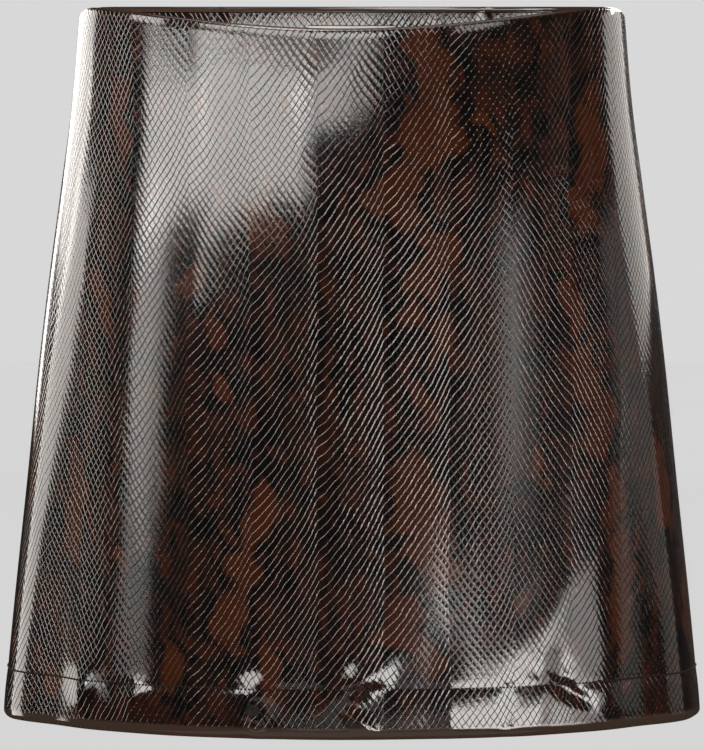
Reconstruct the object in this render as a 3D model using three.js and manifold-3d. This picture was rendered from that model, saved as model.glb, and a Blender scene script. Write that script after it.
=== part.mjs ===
// A short A-line skirt in embossed coated leather, filled out as if worn, with nobody in it.
// Front panel, back panel, a facing inside the waist, a turned-up hem, a woven label and a
// concealed zip in the wearer's left side seam. Millimetres, +Z up, the front faces -Y.
// The origin is the centre of the waist opening, level with the edge at the back.
import * as THREE from "three";
import { mergeVertices } from "three/addons/utils/BufferGeometryUtils.js";
import Module from "manifold-3d";

// Driving sizes of the garment.
const LENGTH = 390; // waist level to hem edge
const WALL = 1.2; // coated leather with its knitted backing
const GAP = 0.3; // clearance between pieces at a seam
const FRONT_DIP = 11.6; // how far the waist edge dips at the front
const DIP_CENTRE = -4; // its lowest place, beside the middle
const DIP_REACH = 0.945; // share of the half width over which it dips
const DIP_SHARPNESS = 1.2;
const SIDE_DIP = 4.5; // how far the waist edge drops at each side
const SIDE_DIP_WIDTH = 22;
const SEAM_BACK = 26; // the side seams lie this far behind the widest line
const WAIST_ROLL = 2.0; // radius of the turned waist edge
const WAIST_TURN = 1.0; // how far the turned edge runs down inside
const HEM_ROLL = { middle: 4.4, side: 2.5 }; // radius of the soft fold at the hem
const HEM_DEPTH = 30; // turned-up allowance
const HEM_STITCH = 27; // height of the hem stitching above the edge
const HEM_PUFF = 1.0; // how far the hem bulges under its stitching
const STITCH_DENT = 0.7;
const STITCH_DENT_WIDTH = 4;
const FACING_DEPTH = 45;
const FACING_DROP = 0.5; // its top edge below the turned edge of the waist

// The form at several levels, outside of the cloth: how far below the waist level, half the
// width, and how far the front and the back stand from the middle plane.
const FORM = [
  { below: 0, halfWidth: 149.5, front: 98, back: 99 },
  { below: 50, halfWidth: 153.7, front: 108, back: 113 },
  { below: 100, halfWidth: 160.2, front: 115, back: 126 },
  { below: 150, halfWidth: 167.0, front: 119, back: 132 },
  { below: 200, halfWidth: 173.0, front: 122, back: 134 },
  { below: 260, halfWidth: 179.2, front: 126, back: 135 },
  { below: 325, halfWidth: 186.2, front: 130, back: 137 },
  { below: 390, halfWidth: 192.6, front: 134, back: 139 },
];
// How square each half is in plan, at the waist and at the hem: 2 is an ellipse.
const SQUARENESS = { front: [2.25, 1.85], back: [2.1, 1.95] };

// Soft folds that grow towards the hem. around: 0 centre front, 1 the wearer's left seam,
// 2 centre back, -1 the right seam. width is in the same units, lean is the shift by the hem.
const FOLDS = [
  { around: -0.84, out: 2.6, width: 0.07, from: 90, lean: -0.03 },
  { around: -0.7, out: -2.2, width: 0.07, from: 130, lean: -0.02 },
  { around: 0.8, out: 2.4, width: 0.07, from: 100, lean: 0.03 },
  { around: 0.67, out: -2.0, width: 0.07, from: 150, lean: 0.02 },
  { around: -0.42, out: 1.4, width: 0.1, from: 230, lean: 0.04 },
  { around: 0.4, out: 1.6, width: 0.12, from: 210, lean: -0.05 },
  { around: 0.06, out: -1.2, width: 0.12, from: 240, lean: 0.03 },
  { around: -1.25, out: 3.2, width: 0.09, from: 120, lean: -0.03 },
  { around: -1.5, out: -3.0, width: 0.1, from: 150, lean: 0.02 },
  { around: -1.76, out: 2.8, width: 0.1, from: 140, lean: 0.03 },
  { around: 2.0, out: -2.2, width: 0.1, from: 170, lean: 0.02 },
  { around: 1.72, out: 3.0, width: 0.1, from: 130, lean: -0.04 },
  { around: 1.48, out: -2.8, width: 0.09, from: 160, lean: -0.02 },
  { around: 1.24, out: 3.2, width: 0.09, from: 110, lean: 0.03 },
];

// Mesh fineness.
const COLUMNS = 44; // across one panel
const ROWS = 12; // from waist to hem
const HEM_ROWS = 3;
const FACING_ROWS = 2;
const TAPE_ROWS = 12;
const TAPE_COLUMNS = 4;
const LABEL_COLUMNS = 8;
const ROLL_STEPS = 6;
const PIN_SIDES = 20;
const TIP_STEPS = 10;
const CURVE_STEPS = 120; // for measuring the way round a section

// The zip, in the seam at +X.
const ZIP = {
  top: 5, // tape end below the waist level
  coilTop: 15,
  coilEnd: 176,
  tapeEnd: 192,
  tapeWidth: 12,
  tapeWall: 1.0,
  tapeSink: 1.5, // depth of the tape's face below the cloth's outside
  coilHalf: 1.4,
  coilSink: 1.9,
  coilDepth: 2.6,
  stopHeight: 3,
  stopOver: 0.1, // how much prouder the stop is than the coil
  facingClear: 4, // the facing stops this far from the seam
};
const SLIDER = {
  at: 10, // below the waist level
  plateHalf: 2.6,
  plateHeight: 9,
  plateWall: 1.2,
  plateSink: 5.2,
  neckHalf: 0.8,
  neckHeight: 5,
  crownHeight: 8.4,
  crownStand: 0.5,
  crownWall: 1.0,
  pinStand: 3.0,
  pinDrop: 2.4,
  pinRadius: 0.5,
  earInner: 1.6,
  earOuter: 2.3,
  earRadius: 0.9,
  bite: 0.2, // how far its joined pieces run into each other
};
const PULL = {
  barrelRadius: 1.2,
  barrelHole: 0.7,
  barrelHalf: 1.3,
  neckHalf: 1.1,
  neckLength: 3,
  tipHalf: 2.4,
  length: 17,
  wall: 0.9,
};
const SLIDER_MOUTH = { from: 3, to: 17, trim: 1.25, ease: 6 }; // the seam parts round the neck

const LABEL = { halfWidth: 25, top: 11, bottom: 31, wall: 0.6 };

const MATERIAL = {
  leather: { color: "#3a1f14", roughness: 0.25, metalness: 0 },
  tape: { color: "#1b1512", roughness: 0.85, metalness: 0 },
  nylon: { color: "#17120f", roughness: 0.45, metalness: 0 },
  enamel: { color: "#1d1613", roughness: 0.35, metalness: 0.6 },
  satin: { color: "#e9e6df", roughness: 0.6, metalness: 0 },
};

const clamp = (v, low, high) => Math.min(high, Math.max(low, v));
const smooth = (v) => v * v * (3 - 2 * v);

// A smooth curve through one column of FORM.
function formAt(below, column) {
  const last = FORM.length - 1;
  let i = FORM.findIndex((row) => row.below > below) - 1;
  if (i < 0) i = below <= 0 ? 0 : last - 1;
  const row = (k) => FORM[clamp(k, 0, last)];
  const [a, b, c, d] = [row(i - 1), row(i), row(i + 1), row(i + 2)];
  const span = c.below - b.below;
  const t = (below - b.below) / span;
  const slopeB = ((c[column] - a[column]) / (c.below - a.below)) * span;
  const slopeC = ((d[column] - b[column]) / (d.below - b.below)) * span;
  const t2 = t * t;
  const t3 = t2 * t;
  return (
    (2 * t3 - 3 * t2 + 1) * b[column] +
    (t3 - 2 * t2 + t) * slopeB +
    (3 * t2 - 2 * t3) * c[column] +
    (t3 - t2) * slopeC
  );
}

// Half of the section at one level as a fine line from its centre to the widest point at +X,
// with the distance along it. half is "front" or "back".
const measured = new Map();
function halfSection(half, below) {
  const key = half + below.toFixed(3);
  if (!measured.has(key)) {
    const width = formAt(below, "halfWidth");
    const depth = formAt(below, half) * (half === "front" ? -1 : 1);
    const [atWaist, atHem] = SQUARENESS[half];
    const power = 2 / (atWaist + ((atHem - atWaist) * below) / LENGTH);
    const line = [];
    let along = 0;
    for (let i = 0; i <= CURVE_STEPS; i++) {
      const angle = (smooth(i / CURVE_STEPS) * Math.PI) / 2;
      const x = width * Math.sin(angle) ** power;
      const y = depth * Math.max(0, Math.cos(angle)) ** power;
      if (i) along += Math.hypot(x - line[i - 1].x, y - line[i - 1].y);
      line.push({ x, y, along });
    }
    measured.set(key, line);
  }
  return measured.get(key);
}

const halfLength = (half, below) => halfSection(half, below)[CURVE_STEPS].along;

// Outward displacement of the folds, at a place round the skirt.
function foldOut(around, below) {
  let out = 0;
  for (const fold of FOLDS) {
    const grow = smooth(clamp((below - fold.from) / (LENGTH - fold.from), 0, 1));
    const centre = fold.around + fold.lean * grow;
    const away = ((((around - centre + 2) % 4) + 4) % 4) - 2;
    out += fold.out * grow * Math.exp(-((away / fold.width) ** 2));
  }
  return out;
}

// The bulge of the turned-up hem and the dent along its stitching.
function hemOut(below) {
  const above = LENGTH - below;
  const puff = above < HEM_STITCH ? Math.sin((Math.PI * above) / HEM_STITCH) : 0;
  const dent = Math.exp(-(((above - HEM_STITCH) / STITCH_DENT_WIDTH) ** 2));
  return HEM_PUFF * puff - STITCH_DENT * dent;
}

// Where a place on the ring falls. round is the distance from the centre front, positive
// towards +X, so it runs past the widest point into the back half.
function onRing(round, level) {
  const side = round < 0 ? -1 : 1;
  const front = halfLength("front", level);
  const back = halfLength("back", level);
  const half = Math.abs(round) <= front ? "front" : "back";
  const total = half === "front" ? front : back;
  const along = clamp(half === "front" ? Math.abs(round) : front + back - Math.abs(round), 0, total);
  const share = along / total;
  const around = side * (half === "front" ? share : 2 - share);
  return { side, half, along, around };
}

// The point and the outward direction of the plain form, in plan.
function formPoint(ring, level) {
  const { side, half, along } = ring;
  const line = halfSection(half, level);
  const i = clamp(line.findIndex((p) => p.along >= along), 1, CURVE_STEPS);
  const [p, q] = [line[i - 1], line[i]];
  const t = (along - p.along) / (q.along - p.along);
  const step = Math.hypot(q.x - p.x, q.y - p.y);
  const facing = half === "front" ? -1 : 1;
  return {
    x: side * (p.x + (q.x - p.x) * t),
    y: p.y + (q.y - p.y) * t,
    nx: (side * Math.abs(q.y - p.y)) / step,
    ny: (facing * Math.abs(q.x - p.x)) / step,
  };
}

// A point of the cloth, out being the distance outside the cloth's outer face.
function place(round, below, out) {
  const level = clamp(below, 0, LENGTH);
  const ring = onRing(round, level);
  const { x, y, nx, ny } = formPoint(ring, level);
  const shift = out + foldOut(ring.around, level) + hemOut(level);
  return [x + nx * shift, y + ny * shift, -below];
}

// The distance round to the seam on one side, and to a place measured from the centre back.
const seamAt = (side, level) => side * (halfLength("front", level) + SEAM_BACK);
function fromBack(distance, level) {
  const all = halfLength("front", level) + halfLength("back", level);
  return (distance < 0 ? -all : all) - distance;
}

// How far below the waist level the edge lies at a place round the waist.
function edgeDip(round) {
  const ring = onRing(round, 0);
  const past = Math.abs(round) - halfLength("front", 0);
  const side = SIDE_DIP * Math.exp(-((past / SIDE_DIP_WIDTH) ** 2));
  if (ring.half === "back") return side;
  const reach = Math.abs(formPoint(ring, 0).x - DIP_CENTRE) / (DIP_REACH * FORM[0].halfWidth);
  const curve = Math.cos((clamp(reach, 0, 1) * Math.PI) / 2) ** DIP_SHARPNESS;
  return side + FRONT_DIP * curve;
}

// Points on a half circle in the wall's own section, from one angle to another, in degrees.
function arc(out, below, radius, from, to) {
  const points = [];
  for (let i = 0; i <= ROLL_STEPS; i++) {
    const angle = THREE.MathUtils.degToRad(from + ((to - from) * i) / ROLL_STEPS);
    points.push([out + radius * Math.cos(angle), below - radius * Math.sin(angle)]);
  }
  return points;
}

// Evenly spaced points between two places of the wall's section, without the ends.
function run(outA, belowA, outB, belowB, count) {
  const points = [];
  for (let i = 1; i < count; i++) {
    const t = i / count;
    points.push([outA + (outB - outA) * t, belowA + (belowB - belowA) * t]);
  }
  return points;
}

// The panel's wall cut through from waist to hem, as its outer line and its inner line: rolled
// over at the waist, down, round the fold of the hem and up to its raw edge.
function panelWall(top, share) {
  const roll = HEM_ROLL.middle + (HEM_ROLL.side - HEM_ROLL.middle) * share ** 2;
  const waist = top + WAIST_ROLL;
  const hem = LENGTH - roll;
  const rawEdge = LENGTH - HEM_DEPTH;
  const line = (depth) => {
    const turned = depth - 2 * WAIST_ROLL;
    const lifted = depth - 2 * roll;
    const laid = depth - 2 * WALL - GAP;
    return [
      [turned, waist + WAIST_TURN],
      ...arc(-WAIST_ROLL, waist, WAIST_ROLL - depth, 180, 0),
      ...run(-depth, waist, -depth, hem, ROWS),
      ...arc(-roll, hem, roll - depth, 0, -180),
      ...run(lifted, hem, laid, rawEdge, HEM_ROWS),
      [laid, rawEdge],
    ];
  };
  return { outer: line(0), inner: line(WALL) };
}

// A plain strip of wall between two levels, its outer face sunk below the cloth's outside.
function stripWall(sink, wall, top, bottom, rows) {
  const line = (out) => [[out, top], ...run(out, top, out, bottom, rows), [out, bottom]];
  return { outer: line(-sink), inner: line(-sink - wall) };
}

// Sweeps a wall across columns into one closed solid. walls[i] holds the outer and the inner
// line of [out, below] at column i, and spot(i, out, below) gives the point in space.
function sweep(walls, spot) {
  const rows = walls[0].outer.length;
  const size = 2 * rows;
  const vertices = walls.flatMap(({ outer, inner }, i) =>
    [...outer, ...inner.slice().reverse()].flatMap(([out, below]) => spot(i, out, below)),
  );
  const faces = [];
  for (let i = 0; i + 1 < walls.length; i++) {
    for (let j = 0; j < size; j++) {
      const k = (j + 1) % size;
      const [a, b, c, d] = [i * size + j, i * size + k, (i + 1) * size + k, (i + 1) * size + j];
      faces.push([a, b, c], [a, c, d]);
    }
  }
  const last = (walls.length - 1) * size;
  for (let j = 0; j + 1 < rows; j++) {
    const [a, b, c, d] = [j, j + 1, size - 2 - j, size - 1 - j];
    faces.push([a, c, b], [a, d, c]);
    faces.push([last + a, last + b, last + c], [last + a, last + c, last + d]);
  }
  const geometry = new THREE.BufferGeometry();
  geometry.setAttribute("position", new THREE.Float32BufferAttribute(vertices, 3));
  geometry.setIndex(faces.flat());
  return outwards(geometry);
}

// Turns a closed geometry's faces round if its volume comes out negative.
function outwards(geometry) {
  const position = geometry.getAttribute("position");
  const index = Array.from(geometry.index.array);
  const point = (i) => new THREE.Vector3().fromBufferAttribute(position, i);
  let volume = 0;
  for (let i = 0; i < index.length; i += 3) {
    const [a, b, c] = [point(index[i]), point(index[i + 1]), point(index[i + 2])];
    volume += a.dot(b.cross(c)) / 6;
  }
  if (volume < 0) {
    for (let i = 0; i < index.length; i += 3) {
      [index[i], index[i + 1]] = [index[i + 1], index[i]];
    }
    geometry.setIndex(index);
  }
  return geometry;
}

function named(name, geometry, look) {
  const mesh = new THREE.Mesh(geometry, new THREE.MeshStandardMaterial(MATERIAL[look]));
  mesh.name = name;
  return mesh;
}

// How far a panel's edge stays back from the seam line at one level.
function seamTrim(side, below) {
  if (side < 0) return GAP / 2;
  const { from, to, trim, ease } = SLIDER_MOUTH;
  const open = Math.min(
    smooth(clamp((below - from + ease) / ease, 0, 1)),
    smooth(clamp((to + ease - below) / ease, 0, 1)),
  );
  return GAP / 2 + (trim - GAP / 2) * open;
}

// The distance round of a panel's column, share running from -1 at one seam to 1 at the other.
// For the back it is measured from the centre back, so the seam at +X is at share 1 in both.
function columnRound(half, share, level, trim) {
  if (half === "front") return share * (seamAt(1, level) - trim);
  return fromBack(share * (halfLength("back", level) - SEAM_BACK - trim), level);
}

const sharesOf = (columns) => Array.from({ length: columns + 1 }, (_, i) => (2 * i) / columns - 1);

function panel(half) {
  const shares = sharesOf(COLUMNS);
  const walls = shares.map((share) => panelWall(edgeDip(columnRound(half, share, 0, 0)), share));
  return sweep(walls, (i, out, below) => {
    const level = clamp(below, 0, LENGTH);
    const trim = seamTrim(shares[i] < 0 ? -1 : 1, level);
    return place(columnRound(half, shares[i], level, trim), below, out);
  });
}

// The facing is cut on the panel's own line, inside it, and stops short of the zip.
function facing(half) {
  const shares = sharesOf(COLUMNS);
  const sink = 2 * WAIST_ROLL - WALL;
  const clear = (share) => (share < 0 ? GAP / 2 : ZIP.facingClear);
  const walls = shares.map((share) => {
    const dip = edgeDip(columnRound(half, share, 0, clear(share)));
    const top = dip + WAIST_ROLL + WAIST_TURN + FACING_DROP;
    return stripWall(sink, WALL, top, top + FACING_DEPTH, FACING_ROWS);
  });
  return sweep(walls, (i, out, below) =>
    place(columnRound(half, shares[i], below, clear(shares[i])), below, out),
  );
}

function label() {
  const shares = sharesOf(LABEL_COLUMNS);
  const sink = 2 * WAIST_ROLL + GAP;
  const wall = stripWall(sink, LABEL.wall, LABEL.top, LABEL.bottom, 1);
  return sweep(shares.map(() => wall), (i, out, below) =>
    place(fromBack(LABEL.halfWidth * shares[i], below), below, out),
  );
}

// A strip that follows the seam at +X between two distances from it, behind being positive.
function seamStrip(from, to, columns, wall) {
  const walls = Array.from({ length: columns + 1 }, () => wall);
  return sweep(walls, (i, out, below) => {
    const beside = from + ((to - from) * i) / columns;
    return place(seamAt(1, below) + beside, below, out);
  });
}

function zipTape(direction) {
  const wall = stripWall(ZIP.tapeSink, ZIP.tapeWall, ZIP.top, ZIP.tapeEnd, TAPE_ROWS);
  const inner = ZIP.coilHalf + GAP;
  return seamStrip(direction * inner, direction * (inner + ZIP.tapeWidth), TAPE_COLUMNS, wall);
}

function zipCoil() {
  const wall = stripWall(ZIP.coilSink, ZIP.coilDepth, ZIP.coilTop, ZIP.coilEnd, TAPE_ROWS);
  return seamStrip(-ZIP.coilHalf, ZIP.coilHalf, 1, wall);
}

function zipStop() {
  const top = ZIP.coilEnd + GAP;
  const half = ZIP.coilHalf + ZIP.stopOver;
  const depth = ZIP.coilDepth + 2 * ZIP.stopOver;
  const wall = stripWall(ZIP.coilSink - ZIP.stopOver, depth, top, top + ZIP.stopHeight, 1);
  return seamStrip(-half, half, 1, wall);
}

const wasm = await Module();
wasm.setup();

function toSolid(geometry) {
  const bare = geometry.clone();
  bare.deleteAttribute("normal");
  bare.deleteAttribute("uv");
  const merged = mergeVertices(bare);
  return new wasm.Manifold(
    new wasm.Mesh({
      numProp: 3,
      vertProperties: new Float32Array(merged.getAttribute("position").array),
      triVerts: new Uint32Array(merged.index.array),
    }),
  );
}

function toGeometry(solid) {
  const mesh = solid.getMesh();
  const geometry = new THREE.BufferGeometry();
  geometry.setAttribute("position", new THREE.BufferAttribute(mesh.vertProperties, 3));
  geometry.setIndex(new THREE.BufferAttribute(mesh.triVerts, 1));
  return geometry;
}

const join = (geometries) => toGeometry(geometries.map(toSolid).reduce((a, b) => a.add(b)));

function block(fromX, toX, halfY, height) {
  const geometry = new THREE.BoxGeometry(toX - fromX, 2 * halfY, height);
  return geometry.translate((fromX + toX) / 2, 0, 0);
}

// A round bar along Y, centred on the pull's hinge line.
function hingeBar(radius, halfY, middleY = 0) {
  const geometry = new THREE.CylinderGeometry(radius, radius, 2 * halfY, PIN_SIDES);
  return geometry.translate(SLIDER.pinStand, middleY, -SLIDER.pinDrop);
}

// The slider, in its own frame: X out of the cloth, Z up along the seam.
function slider() {
  const s = SLIDER;
  const crownOut = s.crownStand + s.crownWall;
  const earHalf = (s.earOuter - s.earInner) / 2;
  const earMiddle = (s.earOuter + s.earInner) / 2;
  const ears = [-1, 1].flatMap((side) => {
    const root = crownOut - s.bite;
    const web = new THREE.BoxGeometry(s.pinStand - root, 2 * earHalf, 2 * s.earRadius);
    web.translate((s.pinStand + root) / 2, side * earMiddle, -s.pinDrop);
    return [web, hingeBar(s.earRadius, earHalf, side * earMiddle)];
  });
  return join([
    block(-s.plateSink - s.plateWall, -s.plateSink, s.plateHalf, s.plateHeight),
    block(-s.plateSink - s.bite, s.crownStand + s.bite, s.neckHalf, s.neckHeight),
    block(s.crownStand, crownOut, s.earOuter, s.crownHeight),
    hingeBar(s.pinRadius, earMiddle),
    ...ears,
  ]);
}

// The pull tab hangs along the cloth from the slider's pin.
function pullTab() {
  const p = PULL;
  const outline = new THREE.Shape();
  outline.moveTo(-p.neckHalf, 0);
  outline.lineTo(-p.neckHalf, -p.neckLength);
  outline.lineTo(-p.tipHalf, -p.length + p.tipHalf);
  outline.absarc(0, -p.length + p.tipHalf, p.tipHalf, Math.PI, 2 * Math.PI, false);
  outline.lineTo(p.neckHalf, -p.neckLength);
  outline.lineTo(p.neckHalf, 0);
  const blade = new THREE.ExtrudeGeometry(outline, {
    depth: p.wall,
    bevelEnabled: false,
    curveSegments: TIP_STEPS,
  });
  blade.rotateX(Math.PI / 2).rotateZ(Math.PI / 2);
  blade.translate(SLIDER.pinStand - p.wall / 2, 0, -SLIDER.pinDrop);
  const hole = toSolid(hingeBar(p.barrelHole, p.barrelHalf + 1));
  const body = toSolid(blade).add(toSolid(hingeBar(p.barrelRadius, p.barrelHalf)));
  return toGeometry(body.subtract(hole));
}

// The slider stands on the seam line, facing out of the cloth and leaning with its flare.
function zipHead() {
  const spot = (below) => new THREE.Vector3(...place(seamAt(1, below), below, 0));
  const at = spot(SLIDER.at);
  const down = spot(SLIDER.at + PULL.length).sub(at).normalize();
  const { nx, ny } = formPoint(onRing(seamAt(1, SLIDER.at), SLIDER.at), SLIDER.at);
  const up = down.negate();
  const out = new THREE.Vector3(nx, ny, 0);
  out.addScaledVector(up, -out.dot(up)).normalize();
  const group = new THREE.Group();
  group.applyMatrix4(new THREE.Matrix4().makeBasis(out, up.clone().cross(out), up).setPosition(at));
  group.add(named("zip_slider", slider(), "enamel"));
  group.add(named("zip_pull_tab", pullTab(), "enamel"));
  return group;
}

const skirt = new THREE.Group();
skirt.add(named("front_panel", panel("front"), "leather"));
skirt.add(named("back_panel", panel("back"), "leather"));
skirt.add(named("front_facing", facing("front"), "leather"));
skirt.add(named("back_facing", facing("back"), "leather"));
skirt.add(named("waist_label", label(), "satin"));
skirt.add(named("zip_tape_front", zipTape(-1), "tape"));
skirt.add(named("zip_tape_back", zipTape(1), "tape"));
skirt.add(named("zip_coil", zipCoil(), "nylon"));
skirt.add(named("zip_bottom_stop", zipStop(), "enamel"));
skirt.add(zipHead());

export default skirt;
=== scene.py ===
# A short A-line skirt in glossy coated leather, snake-embossed and python-printed, filled out
# as if worn, with nobody in it. Sizes are millimetres, as on a maker's sheet, until make_mesh.
import math

import bpy
import numpy as np
from mathutils import Matrix, Vector


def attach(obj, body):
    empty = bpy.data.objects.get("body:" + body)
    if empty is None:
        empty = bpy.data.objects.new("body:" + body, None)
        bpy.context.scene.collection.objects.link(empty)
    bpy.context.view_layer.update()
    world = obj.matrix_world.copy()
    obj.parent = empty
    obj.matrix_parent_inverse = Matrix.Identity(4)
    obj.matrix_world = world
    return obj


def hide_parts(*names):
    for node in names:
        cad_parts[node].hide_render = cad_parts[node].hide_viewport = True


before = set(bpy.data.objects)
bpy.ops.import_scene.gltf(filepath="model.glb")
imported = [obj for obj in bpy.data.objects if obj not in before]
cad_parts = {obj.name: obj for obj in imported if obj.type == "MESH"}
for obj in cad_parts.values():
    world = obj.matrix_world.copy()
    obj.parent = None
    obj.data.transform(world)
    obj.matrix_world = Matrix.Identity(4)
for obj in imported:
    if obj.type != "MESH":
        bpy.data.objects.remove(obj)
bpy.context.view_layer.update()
bpy.ops.object.select_all(action="DESELECT")

MM = 0.001

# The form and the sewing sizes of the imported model, repeated here.
LENGTH = 390
WALL = 1.2
GAP = 0.3
FRONT_DIP, DIP_CENTRE, DIP_REACH, DIP_SHARPNESS = 11.6, -4, 0.945, 1.2
SIDE_DIP, SIDE_DIP_WIDTH = 4.5, 22
SEAM_BACK = 26
WAIST_ROLL, WAIST_TURN = 2.0, 1.0
HEM_ROLL_MIDDLE, HEM_ROLL_SIDE = 4.4, 2.5
HEM_DEPTH, HEM_STITCH = 30, 27
FACING_DEPTH, FACING_DROP, FACING_CLEAR = 45, 0.5, 4
FORM = {
    "below": [0, 50, 100, 150, 200, 260, 325, 390],
    "half_width": [149.5, 153.7, 160.2, 167.0, 173.0, 179.2, 186.2, 192.6],
    "front": [98, 108, 115, 119, 122, 126, 130, 134],
    "back": [99, 113, 126, 132, 134, 135, 137, 139],
}
SQUARENESS = {"front": (2.25, 1.85), "back": (2.1, 1.95)}
SEAM_MOUTH = {"from": 3, "to": 17, "trim": 1.25, "ease": 6}
ZIP = {"top": 5, "coil_top": 15, "coil_end": 176, "tape_end": 192, "tape_width": 12,
       "tape_wall": 1.0, "tape_sink": 1.5, "coil_half": 1.4, "coil_sink": 1.9}
LABEL = {"half_width": 25, "top": 11, "bottom": 31, "wall": 0.6}

# Soft folds towards the hem: place round (0 centre front, 1 the seam at +X, 2 centre back),
# how far out, width in the same units, where it starts, its shift by the hem.
FOLDS = [
    (-0.84, 2.6, 0.07, 90, -0.03),
    (-0.70, -2.2, 0.07, 130, -0.02),
    (0.80, 2.4, 0.07, 100, 0.03),
    (0.67, -2.0, 0.07, 150, 0.02),
    (-0.42, 1.4, 0.10, 230, 0.04),
    (0.40, 1.6, 0.12, 210, -0.05),
    (0.06, -1.2, 0.12, 240, 0.03),
    (-1.25, 3.2, 0.09, 120, -0.03),
    (-1.50, -3.0, 0.10, 150, 0.02),
    (-1.76, 2.8, 0.10, 140, 0.03),
    (2.00, -2.2, 0.10, 170, 0.02),
    (1.72, 3.0, 0.10, 130, -0.04),
    (1.48, -2.8, 0.09, 160, -0.02),
    (1.24, 3.2, 0.09, 110, 0.03),
]

# Small creases: distance round from the panel's own centre line, positive towards +X,
# level, lean in degrees (positive runs down towards +X), half length, half width, how far out.
FRONT_CREASES = [
    (-157, 367, 8, 10, 9, 2.6),
    (-120, 369, 2, 7, 9, 2.2),
    (-55, 367, -38, 12, 9, 2.8),
    (-55, 386, 46, 14, 4, 1.4),
    (4, 358, -48, 15, 9, 2.6),
    (4, 380, 46, 9, 4, 1.8),
    (54, 372, 0, 26, 7, 1.0),
    (84, 378, -6, 14, 4, -1.3),
    (101, 372, -10, 24, 8, 0.8),
    (122, 367, 60, 16, 4, -1.5),
    (144, 371, 14, 12, 9, 1.0),
    (116, 352, 30, 9, 6, -0.6),
    (104, 330, -40, 46, 18, 1.0),
    (-36, 64, 0, 46, 36, 1.1),
    (-92, 262, 4, 46, 12, 0.5),
    (-88, 180, -3, 34, 12, 0.5),
]
BACK_CREASES = [
    (-148, 371, -12, 9, 8, 1.2),
    (-112, 370, 12, 10, 8, 1.4),
    (-98, 380, 22, 14, 4, -0.9),
    (-44, 370, -20, 9, 10, 1.5),
    (-30, 381, -40, 13, 4, 0.8),
    (-4, 371, 10, 8, 7, 1.1),
    (36, 370, 24, 9, 9, 1.5),
    (47, 382, 40, 12, 4, -0.7),
    (88, 369, -10, 22, 8, 1.5),
    (104, 379, -8, 18, 4, -1.3),
    (140, 371, 12, 10, 8, 1.3),
    (-86, 340, 32, 48, 15, 1.7),
    (78, 230, -4, 56, 13, 0.8),
    (-60, 160, 5, 52, 14, 0.7),
]
DART = {"beside": 78, "length": 112, "width": 1.9, "depth": 1.0}
SEAM_EDGE, SEAM_SINK = 3.2, 1.1  # the seam draws the cloth in over this breadth, this deep
HEM_PUFF = 0.35  # the hem stands out this far between its stitches and its fold
STITCH_DENT, STITCH_DENT_WIDTH = 0.12, 2.0  # the stitches pull in a shallow groove


def smooth(t):
    """0 at 0 and 1 at 1, level at both ends."""
    return t * t * (3 - 2 * t)


def form_at(below, column):
    """A smooth curve through one column of FORM."""
    rows, levels = np.array(FORM[column], float), np.array(FORM["below"], float)
    count = len(rows)
    after, before = np.minimum(np.arange(count) + 1, count - 1), np.maximum(np.arange(count) - 1, 0)
    slope = (rows[after] - rows[before]) / (levels[after] - levels[before])
    i = np.clip(np.searchsorted(levels, below, "right") - 1, 0, count - 2)
    span = levels[i + 1] - levels[i]
    t = (below - levels[i]) / span
    return (
        (2 * t**3 - 3 * t**2 + 1) * rows[i]
        + (t**3 - 2 * t**2 + t) * slope[i] * span
        + (3 * t**2 - 2 * t**3) * rows[i + 1]
        + (t**3 - t**2) * slope[i + 1] * span
    )


CURVE_STEPS = 240  # points round half of a section
LEVELS = np.arange(LENGTH + 1.0)


def section_table(half):
    """Half of the plan outline at each millimetre down, from its centre to the widest point."""
    facing = -1 if half == "front" else 1
    power = 2 / np.interp(LEVELS, (0, LENGTH), SQUARENESS[half])[:, None]
    angle = smooth(np.linspace(0, 1, CURVE_STEPS + 1)) * np.pi / 2
    x = form_at(LEVELS, "half_width")[:, None] * np.sin(angle) ** power
    y = facing * form_at(LEVELS, half)[:, None] * np.abs(np.cos(angle)) ** power
    along = np.cumsum(np.hypot(np.diff(x), np.diff(y)), axis=1)
    along = np.concatenate([np.zeros((len(LEVELS), 1)), along], axis=1)
    dx, dy = np.gradient(x, axis=1), np.gradient(y, axis=1)
    size = np.hypot(dx, dy)
    share = along / along[:, -1:] + 2 * np.arange(len(LEVELS))[:, None]
    values = np.stack([x, y, np.abs(dy) / size, facing * np.abs(dx) / size], axis=-1)
    return {"total": along[:, -1], "share": share.ravel(), "values": values.reshape(-1, 4)}


SECTION = {half: section_table(half) for half in ("front", "back")}


def half_length(half, level):
    return np.interp(level, LEVELS, SECTION[half]["total"])


def look_up(half, share, level):
    """x, y and the outward normal at a share of the half section, at any level."""
    table = SECTION[half]
    row = np.minimum(level.astype(int), LENGTH - 1)
    blend = (level - row)[:, None]
    found = []
    for r in (row, row + 1):
        first = r * (CURVE_STEPS + 1)
        i = np.searchsorted(table["share"], share + 2 * r)
        i = np.clip(i, first + 1, first + CURVE_STEPS)
        low, high = table["share"][i - 1], table["share"][i]
        t = np.clip((share + 2 * r - low) / (high - low), 0, 1)[:, None]
        found.append(table["values"][i - 1] * (1 - t) + table["values"][i] * t)
    return found[0] * (1 - blend) + found[1] * blend


def on_ring(round_, level):
    """Side, whether it is the front half, share of that half, and place round for FOLDS."""
    side = np.where(round_ < 0, -1.0, 1.0)
    front, back = half_length("front", level), half_length("back", level)
    is_front = np.abs(round_) <= front
    share = np.where(is_front, np.abs(round_) / front, (front + back - np.abs(round_)) / back)
    share = np.clip(share, 0, 1)
    return side, is_front, share, side * np.where(is_front, share, 2 - share)


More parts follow.
